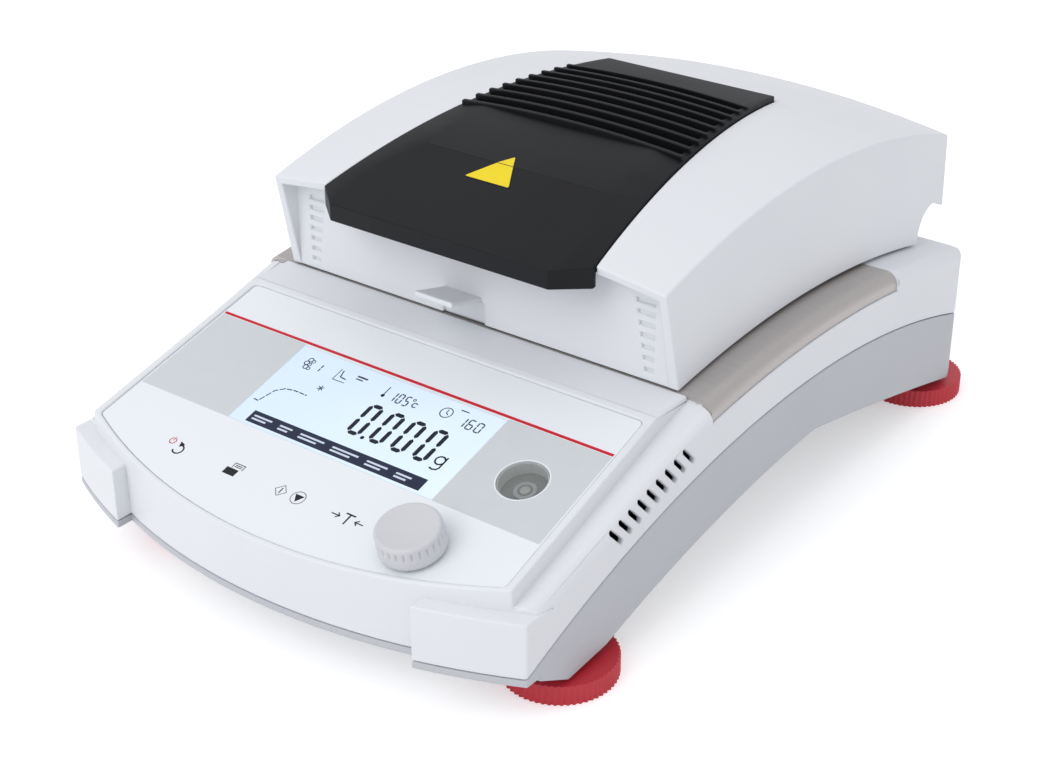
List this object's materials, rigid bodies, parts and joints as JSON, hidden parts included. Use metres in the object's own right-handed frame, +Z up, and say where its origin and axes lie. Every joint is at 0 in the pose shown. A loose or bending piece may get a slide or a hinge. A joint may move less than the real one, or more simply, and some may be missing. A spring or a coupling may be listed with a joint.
{
  "type": "moisture analyzer",
  "caption": "Bench moisture analyzer: balance base with sloped control panel, red levelling feet, sample pan in a steel chamber plate and a hinged halogen heating cover with black grille.",
  "frame": {"origin": "on the bench, under the middle of the bounding box", "axes": "+Z up, -Y to the front where the control panel is, +X to the user's right"},
  "size_m": [0.2136, 0.3169, 0.133],
  "materials": {
    "white_housing": "moulded ABS, fine satin texture",
    "grey_housing": "moulded ABS, fine satin texture",
    "white_cover": "moulded heat resistant plastic, satin",
    "panel_film": "printed polyester film",
    "display_window": "clear window over a lit display",
    "display_body": "display module",
    "circuit_board": "solder mask",
    "level_glass": "clear vial with liquid",
    "key_plastic": "moulded plunger",
    "switch_body": "moulded switch",
    "knob_plastic": "moulded, fine texture",
    "shaft_steel": "turned",
    "foot_plastic": "red moulded plastic",
    "insert_brass": "turned insert",
    "chamber_steel": "stainless, fine brushed",
    "bowl_steel": "spun stainless",
    "pan_aluminium": "pressed foil tray",
    "wire_steel": "stainless sheet",
    "cell_aluminium": "milled",
    "socket_plastic": "black moulded",
    "socket_metal": "nickel plated shell",
    "grille_plastic": "black heat resistant plastic, satin",
    "screen_metal": "black perforated sheet",
    "frame_steel": "zinc plated sheet",
    "lamp_glass": "clear heat resistant glass",
    "reflector_metal": "polished sheet",
    "ceramic": "ceramic",
    "screw_steel": "zinc plated"
  },
  "bodies": {
    "base": {"upper_housing": "white_housing", "lower_housing": "grey_housing", "foot_inserts": "insert_brass", "control_overlay": "panel_film", "display_lens": "display_window", "display_module": "display_body", "display_board": "circuit_board", "level_window": "level_glass", "level_vial": "level_glass", "keypad_board": "circuit_board", "key_switches": "switch_body", "encoder_body": "switch_body", "chamber_plate": "chamber_steel", "chamber_bowl": "bowl_steel", "draft_shield": "bowl_steel", "pan_support": "wire_steel", "pan_post": "cell_aluminium", "load_cell": "cell_aluminium", "load_cell_mount": "cell_aluminium", "main_board": "circuit_board", "board_posts": "key_plastic", "power_inlet": "socket_plastic", "serial_port": "socket_metal", "usb_port": "socket_metal", "hinge_brackets": "frame_steel", "hinge_pin": "shaft_steel"},
    "cover": {"cover_shell": "white_cover", "vent_grille": "grille_plastic", "vent_screen": "screen_metal", "heater_frame": "frame_steel", "protective_glass": "lamp_glass", "glass_retainer": "frame_steel", "reflector": "reflector_metal", "halogen_lamp": "lamp_glass", "lamp_socket": "ceramic", "temperature_sensor": "wire_steel", "frame_screws": "screw_steel"},
    "knob_press": {"encoder_plunger": "key_plastic"},
    "knob": {"control_knob": "knob_plastic", "encoder_shaft": "shaft_steel"},
    "pan": {"sample_pan": "pan_aluminium", "pan_handler": "wire_steel"},
    "power_button": {"power_key": "key_plastic"},
    "print_button": {"print_key": "key_plastic"},
    "start_button": {"start_key": "key_plastic"},
    "tare_button": {"tare_key": "key_plastic"},
    "foot_front_right": {"front_right_foot": "foot_plastic"},
    "foot_front_left": {"front_left_foot": "foot_plastic"},
    "foot_rear_right": {"rear_right_foot": "foot_plastic"},
    "foot_rear_left": {"rear_left_foot": "foot_plastic"}
  },
  "joints": [
    {"name": "cover_hinge", "type": "hinge", "parent": "base", "child": "cover", "pos_m": [0, 0.1395, 0.069], "axis": [-1, 0, 0], "range_deg": [0, 75]},
    {"name": "knob_press", "type": "slide", "parent": "base", "child": "knob_press", "axis": [0, 0.284, -0.9588], "range_m": [0, 0.0008], "stiffness_N_per_m": 2500, "springref_m": -0.0012},
    {"name": "knob_turn", "type": "hinge", "parent": "knob_press", "child": "knob", "pos_m": [0.054, -0.1375, 0.0476], "axis": [0, -0.284, 0.9588], "continuous": true},
    {"name": "pan_lift", "type": "slide", "parent": "base", "child": "pan", "axis": [0, 0, 1], "range_m": [0, 0.008]},
    {"name": "power_key_press", "type": "slide", "parent": "base", "child": "power_button", "axis": [0, 0.284, -0.9588], "range_m": [0, 0.0003], "stiffness_N_per_m": 3000, "springref_m": -0.0004},
    {"name": "print_key_press", "type": "slide", "parent": "base", "child": "print_button", "axis": [0, 0.284, -0.9588], "range_m": [0, 0.0003], "stiffness_N_per_m": 3000, "springref_m": -0.0004},
    {"name": "start_key_press", "type": "slide", "parent": "base", "child": "start_button", "axis": [0, 0.284, -0.9588], "range_m": [0, 0.0003], "stiffness_N_per_m": 3000, "springref_m": -0.0004},
    {"name": "tare_key_press", "type": "slide", "parent": "base", "child": "tare_button", "axis": [0, 0.284, -0.9588], "range_m": [0, 0.0003], "stiffness_N_per_m": 3000, "springref_m": -0.0004},
    {"name": "front_right_foot_turn", "type": "hinge", "parent": "base", "child": "foot_front_right", "pos_m": [0.0885, -0.108, 0.0036], "axis": [0, 0, 1], "continuous": true},
    {"name": "front_left_foot_turn", "type": "hinge", "parent": "base", "child": "foot_front_left", "pos_m": [-0.066, -0.115, 0.0036], "axis": [0, 0, 1], "continuous": true},
    {"name": "rear_right_foot_turn", "type": "hinge", "parent": "base", "child": "foot_rear_right", "pos_m": [0.0855, 0.1386, 0.0036], "axis": [0, 0, 1], "continuous": true},
    {"name": "rear_left_foot_turn", "type": "hinge", "parent": "base", "child": "foot_rear_left", "pos_m": [-0.0855, 0.1386, 0.0036], "axis": [0, 0, 1], "continuous": true}
  ]
}
